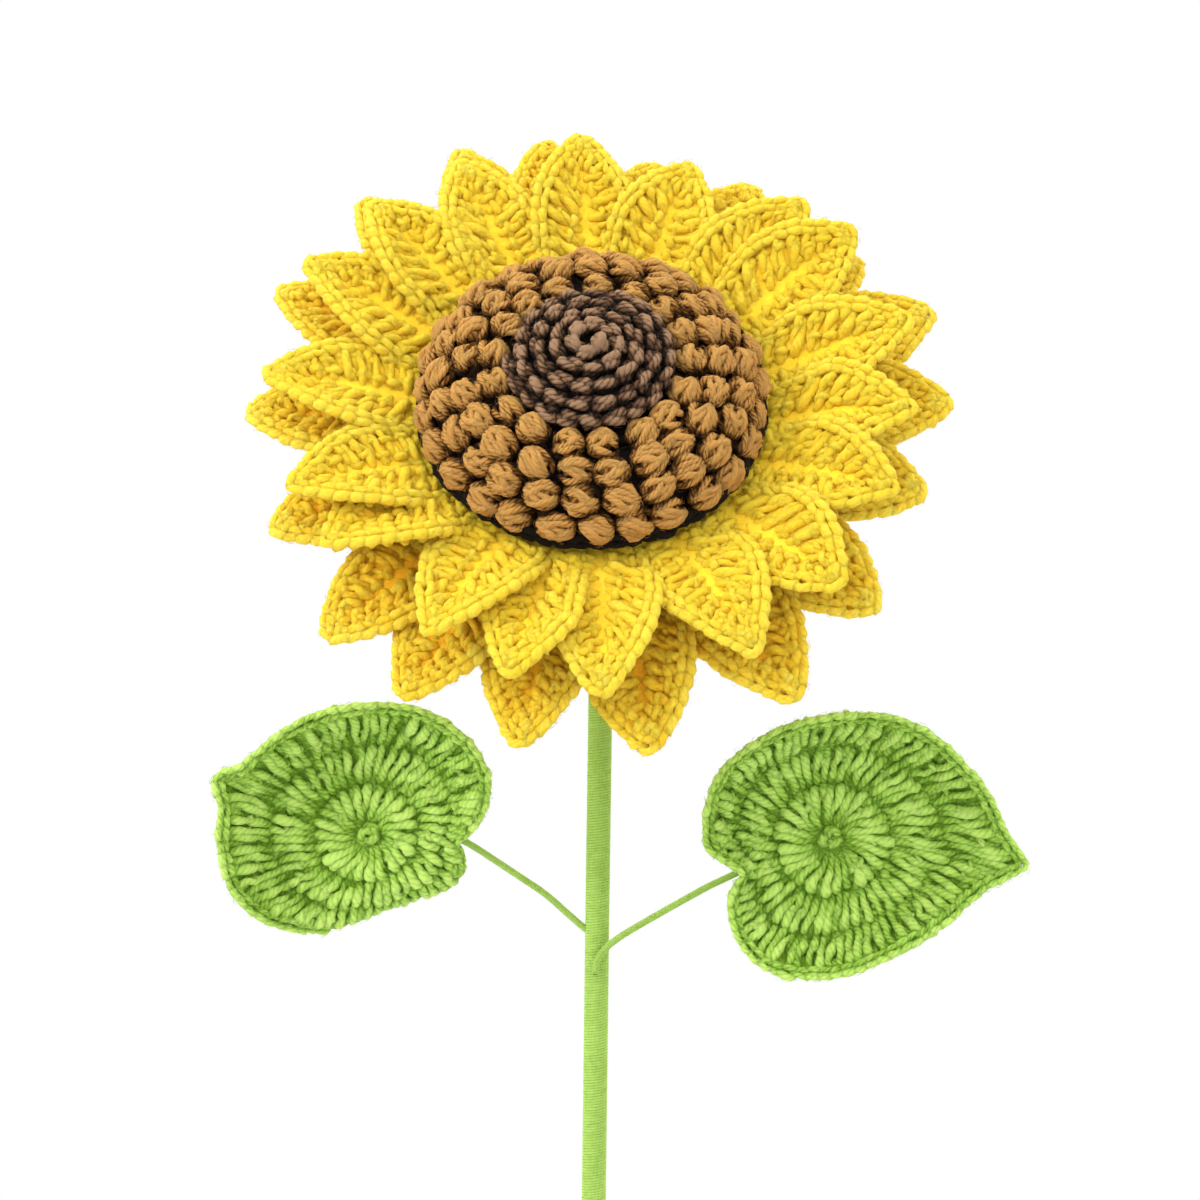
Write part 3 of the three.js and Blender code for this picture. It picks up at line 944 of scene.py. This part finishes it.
def bobblePoints(outline, chance):
    values = discValues
    places, outwards, alongs, picks, sizes = [], [], [], [], []
    for row, count in enumerate(values["rows"]):
        shift = chance.uniform(0, 1)
        for k in range(count):
            angle = 2 * math.pi * (k + shift + chance.uniform(-0.1, 0.1)) / count
            s = values["firstRow"] + row * values["rowPitch"] + chance.uniform(-0.5, 0.5) * mm
            point, out = roundSpot(outline, s, angle, -values["sink"] + chance.uniform(-0.4, 0.4) * mm)
            along = np.array([-math.sin(angle), math.cos(angle), 0])
            tip = np.cross(out, along) * chance.uniform(-0.3, 0.3)
            places.append(tuple(headPlace(point)))
            outwards.extend(headTurn @ out)
            alongs.extend(headTurn @ unit(along + tip) * chance.choice((-1, 1)))
            picks.append(chance.randrange(values["kinds"]))
            room = 2 * math.pi * outline.at(s)[0][0] / count / values["bobbleRoom"]
            sizes.extend((room * chance.uniform(0.96, 1.06), chance.uniform(0.96, 1.08),
                          chance.uniform(0.92, 1.1)))
    mesh = bpy.data.meshes.new("bobble places")
    mesh.from_pydata(places, [], [])
    mesh.attributes.new("outward", "FLOAT_VECTOR", "POINT").data.foreach_set("vector", outwards)
    mesh.attributes.new("along", "FLOAT_VECTOR", "POINT").data.foreach_set("vector", alongs)
    mesh.attributes.new("pick", "INT", "POINT").data.foreach_set("value", picks)
    mesh.attributes.new("size", "FLOAT_VECTOR", "POINT").data.foreach_set("vector", sizes)
    return mesh


def ringRoute(outline, s, lift, sides=90):
    points = []
    facings = []
    for k in range(sides + 1):
        point, out = roundSpot(outline, s, 2 * math.pi * k / sides, lift)
        points.append(headPlace(point))
        facings.append(headTurn @ out)
    return Route(points, facings)


def makeDisc(seed):
    chance = random.Random(seed)
    values = discValues
    outline = Outline("disc", discCentre, values["inside"], values["angles"])
    kinds = [shown("bobble kind", bobbleMesh("bobble kind", chance)) for k in range(values["kinds"])]
    rows = applied("bobbles", bobblePoints(outline, chance), bobbleTree(values["kinds"]), Yarn=tanYarn,
                   **kindInputs(kinds))
    under = revolved("under", outline, values["groundDepth"], blackGround)
    bobbles = fluffy("disc_bobbles", [rows], under, tanYarn, fibreValues["onDisc"], 3)
    for kind in kinds:
        bpy.data.objects.remove(kind)
    finishPiece(bobbles, "tan_yarn", "disc")
    edges = Guides()
    start, outerLift = values["outerEdge"]
    back, innerLift = values["innerEdge"]
    for s, lift in ((start, outerLift), (outline.length - back, innerLift)):
        chain(edges, ringRoute(outline, s, lift), values["edgePitch"], values["edgeSpread"], chance)
    edge = joined("disc_edges", [strands("edges", edges, blackYarn, values["edgeRadius"])])
    finishPiece(edge, "dark_brown_yarn")
    print("disc made: length of outline", round(outline.length / mm, 1), "mm")


makeDisc(31)


# cap: one spiral of plump stitches round a small raised centre

capValues = {
    "inside": (0, 17.4 * mm), "angles": (89.9, 2), "roundPitch": 4.0 * mm, "stitch": 5.2 * mm,
    "start": 1.3 * mm, "sink": 1.7 * mm, "centreRise": 1.6 * mm, "centreRadius": 4.8 * mm,
    "strandRadius": 1.08 * mm, "offset": 0.84 * mm, "twist": math.radians(150), "slant": 0.35 * mm,
    "plumpness": 1.5 * mm, "fullStitchFrom": 14 * mm, "groundDepth": -2.2 * mm,
}


def makeCap(seed):
    chance = random.Random(seed)
    values = capValues
    outline = Outline("cap", discCentre, values["inside"], values["angles"])
    guides = Guides()
    s = values["start"]
    angle = 0.6
    while s < outline.length - 1.0 * mm:
        radius = max(outline.at(s)[0][0], 1.4 * mm)
        stitch = values["stitch"] * min(1, 0.4 + s / values["fullStitchFrom"])
        span = stitch / radius * chance.uniform(0.93, 1.07)
        path = []
        ups = []
        for i in range(6):
            t = i / 5
            here = angle - span * mixed(0.02, 0.98, t)
            along = s + values["roundPitch"] * span * t / (2 * math.pi)
            along += values["slant"] * (t - 0.5) * 2
            rise = values["centreRise"] * math.exp(-(s / values["centreRadius"]) ** 2)
            lift = rise - values["sink"] + values["plumpness"] * (math.sin(math.pi * t) ** 0.6 - 0.6)
            point, out = roundSpot(outline, max(along, 0.2 * mm), here, lift)
            path.append(headPlace(point))
            ups.append(headTurn @ out)
        twisted(guides, path, ups, 3, values["offset"], values["twist"] * chance.uniform(0.8, 1.2),
                chance.uniform(0, 2), 0.5 + chance.uniform(-0.25, 0.25), size=chance.uniform(0.94, 1.06))
        angle -= span
        s += values["roundPitch"] * span / (2 * math.pi)
    cap = fluffy("cap_spiral", [strands("stitches", guides, brownYarn, values["strandRadius"])],
                 revolved("ground", outline, values["groundDepth"], blackGround), brownYarn,
                 fibreValues["onCap"], 4)
    finishPiece(cap, "dark_brown_yarn", "cap")
    print("cap made")


makeCap(32)


# calyx: rounds of green posts from the neck out to the backs of the petals

calyxValues = {
    "inside": (0, -9.6 * mm), "angles": (-89.9, -2), "start": 2.6 * mm, "roundLength": 6.4 * mm,
    "postPitch": 3.5 * mm, "strandRadius": 1.05 * mm, "offset": 0.75 * mm,
    "twist": math.radians(200), "sink": 0.9 * mm, "groundDepth": -1.6 * mm,
    "edgeSpread": 1.2 * mm, "seamSpread": 1.3 * mm, "seams": ((30.6 * mm, -8.2 * mm), (32.6 * mm, -7.6 * mm)),
}


def makeCalyx(seed):
    chance = random.Random(seed)
    values = calyxValues
    outline = Outline("calyx", np.zeros(3), values["inside"], values["angles"])
    rounds = round((outline.length - values["start"]) / values["roundLength"])
    span = (outline.length - values["start"] - 1.5 * mm) / rounds
    guides = Guides()
    for k in range(rounds):
        low = values["start"] + k * span
        radius = outline.at(low + span)[0][0]
        count = round(2 * math.pi * radius / values["postPitch"])
        for j in range(count):
            angle = 2 * math.pi * (j + chance.uniform(-0.08, 0.08)) / count
            path = []
            ups = []
            for i in range(6):
                t = i / 5
                lift = mixed(-0.9, 0.5, t ** 0.6) * mm - values["sink"]
                point, out = roundSpot(outline, low + span * 1.05 * t, angle + 0.05 * t, lift)
                path.append(headPlace(point))
                ups.append(headTurn @ out)
            twisted(guides, path, ups, 2, values["offset"], values["twist"] * chance.uniform(0.8, 1.2),
                    chance.uniform(0, 2), 0.5 + chance.uniform(-0.25, 0.25), grow=0.5)
    chain(guides, ringRoute(outline, outline.length - 0.8 * mm, -0.6 * mm), values["postPitch"],
          values["edgeSpread"], chance)
    for radius, height in values["seams"]:
        ring = [np.array([math.cos(a), math.sin(a), 0]) for a in (math.pi * k / 45 for k in range(91))]
        seam = Route([headPlace(radius * out + np.array([0, 0, height])) for out in ring],
                     [headTurn @ unit(0.6 * out - np.array([0, 0, 0.8])) for out in ring])
        chain(guides, seam, values["postPitch"], values["seamSpread"], chance, size=1.2)
    calyx = fluffy("calyx_yarn", [strands("posts", guides, leafYarn, values["strandRadius"])],
                   revolved("ground", outline, values["groundDepth"], leafGapShade), leafYarn,
                   fibreValues["onLeaves"], 5)
    finishPiece(calyx, "green_yarn", "calyx")
    print("calyx made")


makeCalyx(33)


# leaves: a hub and three rounds of posts in a cupped heart, with a braided edge

leafValues = {
    "centres": {"leaf_right": (54.5 * mm, -7 * mm, 263.2 * mm),
                "leaf_left": (-49.6 * mm, -6 * mm, 263.9 * mm)},
    "liftPower": 5.0, "rounds": ((0.06, 0.42), (0.37, 0.74), (0.68, 1.0)), "postPitch": 2.35 * mm,
    "strandRadius": 1.0 * mm, "offset": 0.76 * mm, "twist": math.radians(190), "rise": 1.6,
    "footDip": 0.5 * mm, "headRise": 0.8 * mm, "rimInset": 1.6 * mm,
    "linkPitch": 2.7 * mm, "linkSpread": 0.85 * mm, "linkRadius": 0.8 * mm, "sheetThickness": 0.5 * mm,
    "wrapReach": 0.95 * mm, "wrapRise": 0.8 * mm, "hubRadius": 1.5 * mm, "backDrop": 1.1 * mm,
    "stray": 0.24 * mm, "swell": 0.28,
}


class Leaf:
    def __init__(self, node):
        self.centre = np.array(leafValues["centres"][node])
        own = np.unique(np.round(vertsOf(node) - self.centre, 6), axis=0)
        angles = np.degrees(np.arctan2(own[:, 2], own[:, 0])) % 360
        radii = np.hypot(own[:, 0], own[:, 2])
        rows = []
        for angle in sorted(set(np.round(angles[radii > 12 * mm], 0))):
            near = np.abs((angles - angle + 180) % 360 - 180) < 1.2
            edge = near & (radii > radii[near].max() - 0.05 * mm)
            middle = angles[edge].mean() if angle > 2 else angle
            rows.append((middle, radii[edge].max(), -own[edge, 1].mean()))
        self.table = np.array(rows)
        self.mean = self.table[:, 1].mean()

    def rim(self, angle, column):
        return np.interp(angle % 360, self.table[:, 0], self.table[:, column], period=360)

    def surface(self, angle, share):
        # inner rounds are nearly circular, outer ones follow the heart's edge
        edge = self.rim(angle, 1) - leafValues["rimInset"]
        radius = share * mixed(self.mean, edge, min(1, share) ** 1.4)
        forward = self.rim(angle, 2) * leafValues["rise"] * share ** leafValues["liftPower"]
        a = math.radians(angle)
        return self.centre + np.array([radius * math.cos(a), -forward, radius * math.sin(a)])

    def normal(self, angle, share):
        turn = self.surface(angle + 3, share) - self.surface(angle - 3, share)
        out = self.surface(angle, share + 0.03) - self.surface(angle, share - 0.03)
        return unit(np.cross(out, turn))


def postAngles(leaf, share):
    # angles that set the posts of a round evenly along it
    turns = np.arange(0, 361, 2)
    ring = np.array([leaf.surface(t, share) for t in turns])
    marks = np.concatenate([[0], np.cumsum(np.linalg.norm(np.diff(ring, axis=0), axis=1))])
    count = round(marks[-1] / leafValues["postPitch"])
    return np.interp(np.arange(count) * marks[-1] / count, marks, turns)


def leafRim(leaf):
    points = []
    facings = []
    for k in range(241):
        angle = 360 * k / 240
        here = leaf.surface(angle, 1)
        outward = unit(here - leaf.surface(angle, 0.85))
        points.append(here)
        facings.append(unit(0.45 * outward + 0.9 * leaf.normal(angle, 0.97)))
    return Route(points, facings)


def makeLeaf(node, seed):
    chance = random.Random(seed)
    values = leafValues
    leaf = Leaf(node)
    posts = Guides(stray=values["stray"], swell=values["swell"])
    for low, high in values["rounds"]:
        for even in postAngles(leaf, mixed(low, high, 0.7)):
            angle = even + chance.uniform(-0.4, 0.4)
            lean = chance.uniform(-1.5, 3.0)
            path = []
            ups = []
            steps = 7
            for i in range(steps + 1):
                t = i / steps
                share = mixed(low, high, t)
                up = leaf.normal(angle, max(share, 0.15))
                lift = mixed(-values["footDip"], values["headRise"], t ** 0.5)
                lift -= 1.0 * mm * max(0, t * 6 - 5)
                path.append(leaf.surface(angle + lean * t, share) + up * lift)
                ups.append(up)
            twist = values["twist"] * chance.uniform(0.8, 1.2)
            tone = 0.5 + chance.uniform(-0.25, 0.25)
            twisted(posts, path, ups, 2, values["offset"], twist, chance.uniform(0.9, 1.5), tone,
                    grow=0.9 if low < 0.2 else 0.3)
            wrap(posts, path, ups, chance.uniform(0.5, 0.7), values["wrapReach"], values["wrapRise"],
                 1, tone + chance.uniform(-0.1, 0.2), 0.8)
            posts.add([p - up * values["backDrop"] for p, up in zip(path[::2], ups[::2])], tone, size=1.25)
    hubRadius = values["hubRadius"]
    hub = [leaf.centre + np.array([hubRadius * math.cos(a), -0.5 * mm, hubRadius * math.sin(a)])
           for a in (0.5 * k for k in range(15))]
    twisted(posts, hub, [np.array([0, -1.0, 0])] * len(hub), 2, 0.5 * mm, math.radians(500), 0, 0.5)
    rim = Guides()
    chain(rim, leafRim(leaf), values["linkPitch"], values["linkSpread"], chance)
    shares = [i / 11 for i in range(12)]
    rows = []
    for share, face in [(s, 1) for s in shares] + [(s, -1) for s in reversed(shares)]:
        thick = face * values["sheetThickness"]
        rows.append([leaf.surface(3 * k, share) + leaf.normal(3 * k, max(share, 0.15)) * thick
                     for k in range(120)])
    piece = fluffy(node + "_yarn", [strands("rim", rim, leafYarn, values["linkRadius"]),
                                    strands("posts", posts, leafYarn, values["strandRadius"])],
                   skin("sheet", rows, leafGapShade), leafYarn, fibreValues["onLeaves"], 6)
    finishPiece(piece, "green_yarn", node)
    print(node, "made")


makeLeaf("leaf_right", 41)
makeLeaf("leaf_left", 42)


# stem and stalks: fine green thread wound round a wire

stemValues = {
    "radius": 2.85 * mm, "lean": 3.2 * mm, "neckHeight": 322 * mm, "neckBend": 25 * mm,
    "headTilt": 32, "threadRadius": 0.42 * mm, "pitch": 0.62 * mm, "threads": 4,
    "stalkRadius": 0.85 * mm, "stalkThread": 0.28 * mm, "stalkPitch": 0.42 * mm,
}
stalkRoutes = {
    "stalk_right": ((1.5, -4.2, 232), (2.2, -4.25, 235.6), (5.2, -4.6, 239.4), (11.7, -4.6, 243.4),
                    (20.8, -4.9, 248.6), (27.6, -5.4, 252.4), (33, -6, 255), (37, -6.6, 257)),
    "stalk_left": ((1.2, 0, 240.4), (-1.9, 0, 242.8), (-9.7, -1, 249.9), (-18.7, -2.5, 256.1),
                   (-25.8, -4, 261), (-29.5, -5.2, 263.2)),
}


def stemPath():
    values = stemValues
    points = [(0, 0, 0.45 * mm), (0, 0, 8 * mm)]
    for height in (90 * mm, 180 * mm, 250 * mm, values["neckHeight"] - 12 * mm):
        points.append((values["lean"] * (height / values["neckHeight"]) ** 1.6, 0, height))
    for i in range(6):
        turn = math.radians((90 - values["headTilt"]) * i / 5)
        points.append((values["lean"], -values["neckBend"] * (1 - math.cos(turn)),
                       values["neckHeight"] + values["neckBend"] * math.sin(turn)))
    return [np.array(p) for p in points]


def coreTube(name, points, radius, material, sides=16):
    route = Route(points, [np.array([0, -1.0, 0])] * len(points))
    rows = []
    for k in range(61):
        place, heading, facing, side = route.at(route.length * k / 60)
        rows.append([place + radius * (math.cos(a) * facing + math.sin(a) * side)
                     for a in (2 * math.pi * j / sides for j in range(sides))])
    first, last = [[np.mean(row, axis=0)] * sides for row in (rows[0], rows[-1])]
    return skin(name, [first] + rows + [last], material)


def wound(name, node, points, radius, thread, pitch, threads, steps):
    route = Route(points, [np.array([0, -1.0, 0])] * len(points))
    count = max(12, round(route.length / (4 * mm)))
    even = [route.at(route.length * k / count)[0] for k in range(count + 1)]
    guides = Guides(stray=0, swell=0.03)
    for k in range(threads):
        guides.add(even, k / threads, taper=1.0)
    turns = applied("turns", guideMesh("turns", guides), woundThread, Strand_radius=thread,
                    Core_radius=radius - thread, Pitch=pitch, Threads=threads, Steps_a_turn=steps,
                    Sides=5, Yarn=stemThread)
    # painted shade: the core shows between the thread turns in the darker gap colour
    core = coreTube("core", even, radius - thread * 1.1, leafGapShade)
    piece = joined(name, [turns, core])
    finishPiece(piece, "green_thread", node)


wound("stem_wrap", "stem", stemPath(), stemValues["radius"], stemValues["threadRadius"],
      stemValues["pitch"], stemValues["threads"], 20)
for stalk, route in stalkRoutes.items():
    wound(stalk + "_wrap", stalk, [np.array(p) * mm for p in route], stemValues["stalkRadius"],
          stemValues["stalkThread"], stemValues["stalkPitch"], 2, 10)
print("stem and stalks made")

for kind in fibreKinds:
    bpy.data.objects.remove(kind)


# light, floor and white surroundings

stageValues = {"floorRadius": 540 * mm, "floorCorners": 96, "aimHeight": 330 * mm,
               "skyBelow": 0.55, "skyAbove": 2.05, "skySeen": 1.0, "floorGrey": (0.7, 0.7, 0.69, 1)}
lightValues = {  # place, size and power in watts
    "key": ((-1.06, -0.62, 0.98), 0.5, 9.5),
    "fill": ((0.9, -0.7, 0.35), 0.8, 0.2),
    "back": ((0.3, 0.9, 0.9), 0.8, 1.5),
}


def makeFloor():
    count = stageValues["floorCorners"]
    radius = stageValues["floorRadius"]
    angles = [2 * math.pi * k / count for k in range(count)]
    rim = [(radius * math.cos(a), radius * math.sin(a), -0.2 * mm) for a in angles]
    mesh = bpy.data.meshes.new("floor")
    mesh.from_pydata(rim, [], [tuple(range(count))])
    material, tree, shader = shaderNodes("floor", 0.9, 0.0, (1, 1, 1, 1))
    shader.inputs["Base Color"].default_value = stageValues["floorGrey"]
    mesh.materials.append(material)
    shown("floor", mesh)


def addLight(name, place, size, power):
    data = bpy.data.lights.new(name, "AREA")
    data.shape = "DISK"
    data.size = size
    data.energy = power
    lamp = shown(name, data)
    lamp.location = place
    aim = Vector((0, 0, stageValues["aimHeight"])) - Vector(place)
    lamp.rotation_euler = aim.to_track_quat("-Z", "Y").to_euler()


def makeSurroundings():
    world = bpy.data.worlds.new("white room")
    bpy.context.scene.world = world
    world.use_nodes = True
    tree = world.node_tree
    sky = tree.nodes["Background"]
    sky.inputs["Color"].default_value = (1, 1, 1, 1)
    ray = addNode(tree, "ShaderNodeLightPath").outputs["Is Camera Ray"]
    direction = addNode(tree, "ShaderNodeTexCoord").outputs["Generated"]
    way = addNode(tree, "ShaderNodeSeparateXYZ", {0: direction})
    given = addNode(tree, "ShaderNodeMapRange", {
        "Value": way.outputs["Z"], "From Min": -1.0, "From Max": 1.0,
        "To Min": stageValues["skyBelow"], "To Max": stageValues["skyAbove"]}).outputs[0]
    unseen = sumOf(tree, "MULTIPLY", given, sumOf(tree, "SUBTRACT", 1.0, ray))
    seen = sumOf(tree, "MULTIPLY", ray, stageValues["skySeen"])
    tree.links.new(sumOf(tree, "ADD", unseen, seen), sky.inputs["Strength"])
    view = bpy.context.scene.view_settings
    view.view_transform = "Standard"
    view.look = "None"


makeFloor()
makeSurroundings()
for name, (place, size, power) in lightValues.items():
    addLight(name, place, size, power)
print("stage made")
